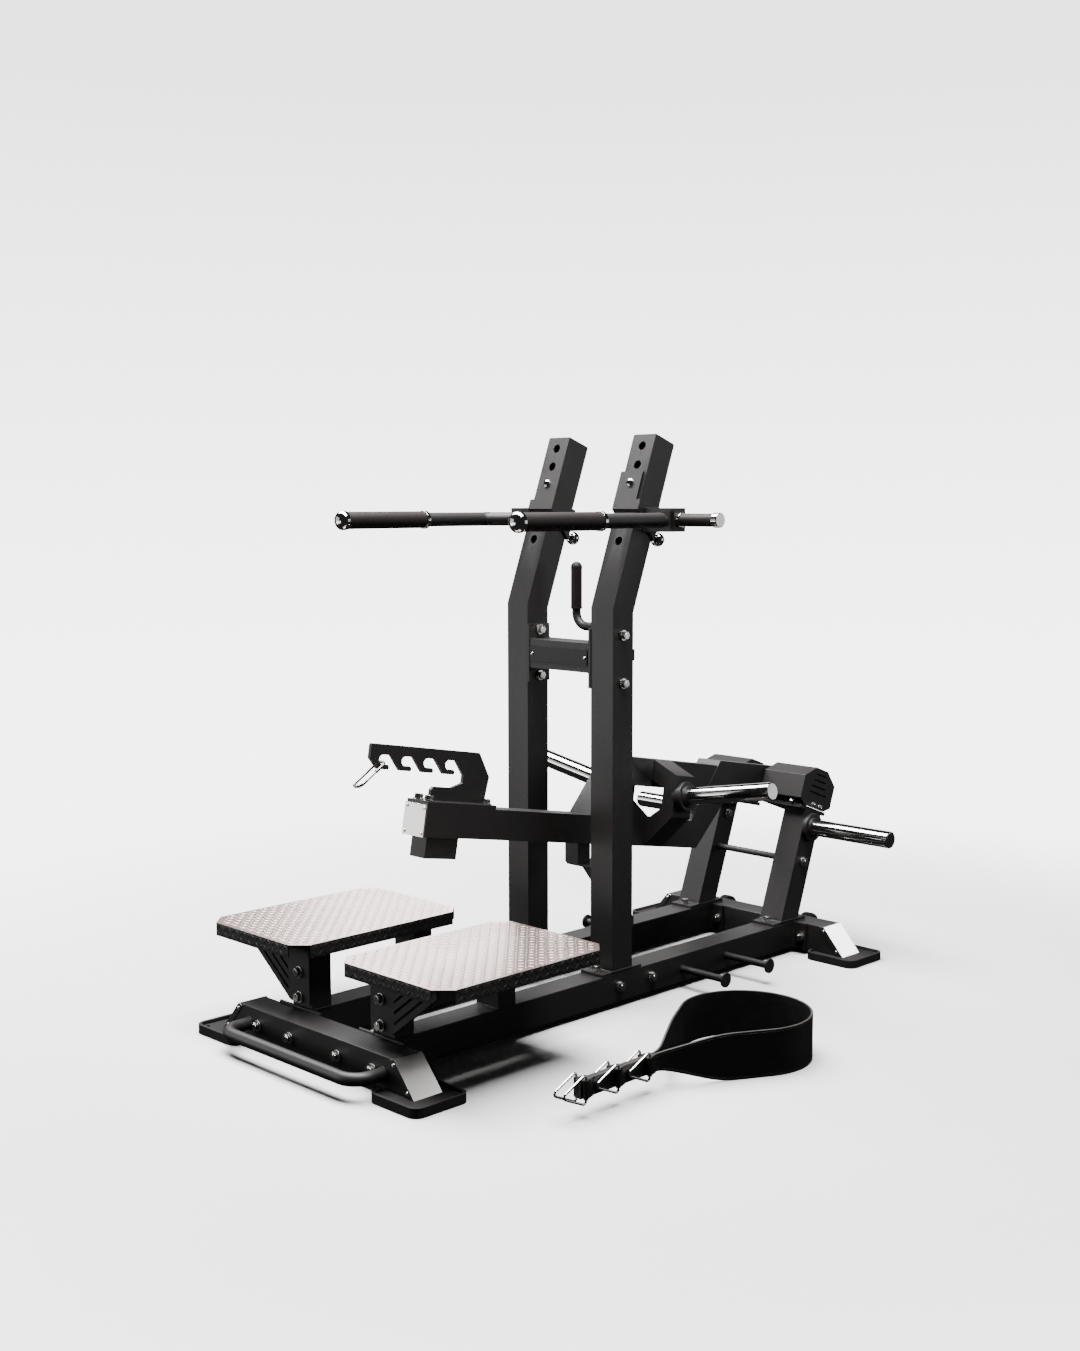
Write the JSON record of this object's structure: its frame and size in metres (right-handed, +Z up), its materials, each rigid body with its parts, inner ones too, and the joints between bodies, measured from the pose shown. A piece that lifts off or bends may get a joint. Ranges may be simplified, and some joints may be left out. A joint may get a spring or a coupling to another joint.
{
  "type": "belt squat machine",
  "caption": "Plate-loaded lever belt squat machine with raised foot platforms, height-adjustable handles, a swinging release catch, plate storage horns and a leather hip belt.",
  "frame": {"origin": "middle of the footprint on the floor, belt included", "axes": "+X towards the machine's right side, +Y from the user's end to the pivot end, +Z up"},
  "size_m": [1.324, 1.9534, 1.5346],
  "materials": {
    "black_powder_coat": "fine-textured matt black powder coat on steel",
    "chromed_steel": "polished hard chrome",
    "checker_plate": "pale warm grey non-slip coating on raised-pattern plate",
    "grip_rubber": "matt black-brown moulded rubber grip",
    "moulded_rubber": "matt black moulded rubber",
    "brushed_plate": "satin stainless sheet",
    "cast_housing": "painted cast bearing housing",
    "plated_wire": "bright zinc-plated wire",
    "ground_shaft": "ground steel shaft",
    "belt_leather": "black leather, smooth outside",
    "label_plate": "bare satin black plate"
  },
  "bodies": {
    "frame": {"front_crossmember": "black_powder_coat", "rear_crossmember": "black_powder_coat", "carry_handle": "black_powder_coat", "crossbar": "black_powder_coat", "blank_plate": "label_plate", "rear_brace": "black_powder_coat", "belt_strap": "belt_leather", "front_left_foot_pad": "moulded_rubber", "rear_left_foot_pad": "moulded_rubber", "front_left_end_cover": "brushed_plate", "rear_left_end_cover": "brushed_plate", "left_rail": "black_powder_coat", "left_upright": "black_powder_coat", "left_rear_post": "black_powder_coat", "left_storage_horn": "chromed_steel", "left_pivot_bearing": "cast_housing", "left_bearing_guard": "black_powder_coat", "left_platform": "checker_plate", "left_platform_support": "black_powder_coat", "left_platform_gusset": "black_powder_coat", "front_right_foot_pad": "moulded_rubber", "rear_right_foot_pad": "moulded_rubber", "front_right_end_cover": "brushed_plate", "rear_right_end_cover": "brushed_plate", "right_rail": "black_powder_coat", "right_upright": "black_powder_coat", "right_rear_post": "black_powder_coat", "right_storage_horn": "chromed_steel", "right_pivot_bearing": "cast_housing", "right_bearing_guard": "black_powder_coat", "right_platform": "checker_plate", "right_platform_support": "black_powder_coat", "right_platform_gusset": "black_powder_coat"},
    "lever": {"lever_frame": "black_powder_coat", "lever_end_plate": "brushed_plate", "hook_plate": "black_powder_coat", "pivot_shaft": "ground_shaft", "left_weight_horn": "chromed_steel", "right_weight_horn": "chromed_steel"},
    "release": {"release_rod": "black_powder_coat", "release_grip": "grip_rubber", "catch_arm": "black_powder_coat"},
    "carabiner": {"carabiner": "plated_wire"},
    "gate": {"carabiner_gate": "plated_wire"},
    "left_carriage": {"left_handle_carriage": "black_powder_coat", "left_front_grip": "grip_rubber", "left_side_grip": "grip_rubber"},
    "left_pin": {"left_pop_pin": "chromed_steel"},
    "left_wheel": {"left_transport_wheel": "moulded_rubber"},
    "left_ring_1": {"belt_ring_left_1": "plated_wire"},
    "left_ring_2": {"belt_ring_left_2": "plated_wire"},
    "left_ring_3": {"belt_ring_left_3": "plated_wire"},
    "right_carriage": {"right_handle_carriage": "black_powder_coat", "right_front_grip": "grip_rubber", "right_side_grip": "grip_rubber"},
    "right_pin": {"right_pop_pin": "chromed_steel"},
    "right_wheel": {"right_transport_wheel": "moulded_rubber"},
    "right_ring_1": {"belt_ring_right_1": "plated_wire"},
    "right_ring_2": {"belt_ring_right_2": "plated_wire"},
    "right_ring_3": {"belt_ring_right_3": "plated_wire"}
  },
  "joints": [
    {"name": "lever_pivot", "type": "hinge", "parent": "frame", "child": "lever", "pos_m": [-0.177, 0.89031, 0.481], "axis": [-1, 0, 0], "range_deg": [0, 20]},
    {"name": "release_swing", "type": "hinge", "parent": "frame", "child": "release", "pos_m": [-0.042, 0.07931, 0.6], "axis": [0, 0, -1], "range_deg": [0, 75]},
    {"name": "left_carriage_slide", "type": "slide", "parent": "frame", "child": "left_carriage", "axis": [0, 0.342, 0.9397], "range_m": [-0.0536, 0.1072]},
    {"name": "left_pin_pull", "type": "slide", "parent": "left_carriage", "child": "left_pin", "axis": [0, 0.9397, -0.342], "range_m": [-0.014, 0], "stiffness_N_per_m": 600, "springref_m": -0.02},
    {"name": "left_wheel_spin", "type": "hinge", "parent": "frame", "child": "left_wheel", "pos_m": [-0.337, 0.90131, 0.055], "axis": [1, 0, 0], "continuous": true},
    {"name": "right_carriage_slide", "type": "slide", "parent": "frame", "child": "right_carriage", "axis": [0, 0.342, 0.9397], "range_m": [-0.0536, 0.1072]},
    {"name": "right_pin_pull", "type": "slide", "parent": "right_carriage", "child": "right_pin", "axis": [0, 0.9397, -0.342], "range_m": [-0.014, 0], "stiffness_N_per_m": 600, "springref_m": -0.02},
    {"name": "right_wheel_spin", "type": "hinge", "parent": "frame", "child": "right_wheel", "pos_m": [-0.017, 0.90131, 0.055], "axis": [1, 0, 0], "continuous": true},
    {"name": "carabiner_swing", "type": "hinge", "parent": "lever", "child": "carabiner", "pos_m": [-0.177, -0.65307, 0.72034], "axis": [1, 0, 0], "range_deg": [-10, 60]},
    {"name": "gate_swing", "type": "hinge", "parent": "carabiner", "child": "gate", "pos_m": [-0.1625, -0.71345, 0.68261], "axis": [0, -0.5299, 0.848], "range_deg": [0, 15], "stiffness_Nm_per_rad": 0.05, "springref_deg": -5.73},
    {"name": "left_ring_1_swing", "type": "hinge", "parent": "frame", "child": "left_ring_1", "pos_m": [0.4843, -0.65069, 0.06525], "axis": [0, 0, -1], "range_deg": [0, 80]},
    {"name": "left_ring_2_swing", "type": "hinge", "parent": "frame", "child": "left_ring_2", "pos_m": [0.4843, -0.54469, 0.06525], "axis": [0, 0, -1], "range_deg": [0, 80]},
    {"name": "left_ring_3_swing", "type": "hinge", "parent": "frame", "child": "left_ring_3", "pos_m": [0.4843, -0.43869, 0.06525], "axis": [0, 0, -1], "range_deg": [0, 80]},
    {"name": "right_ring_1_swing", "type": "hinge", "parent": "frame", "child": "right_ring_1", "pos_m": [0.5137, -0.65069, 0.06525], "axis": [0, 0, 1], "range_deg": [0, 80]},
    {"name": "right_ring_2_swing", "type": "hinge", "parent": "frame", "child": "right_ring_2", "pos_m": [0.5137, -0.54469, 0.06525], "axis": [0, 0, 1], "range_deg": [0, 80]},
    {"name": "right_ring_3_swing", "type": "hinge", "parent": "frame", "child": "right_ring_3", "pos_m": [0.5137, -0.43869, 0.06525], "axis": [0, 0, 1], "range_deg": [0, 80]}
  ]
}
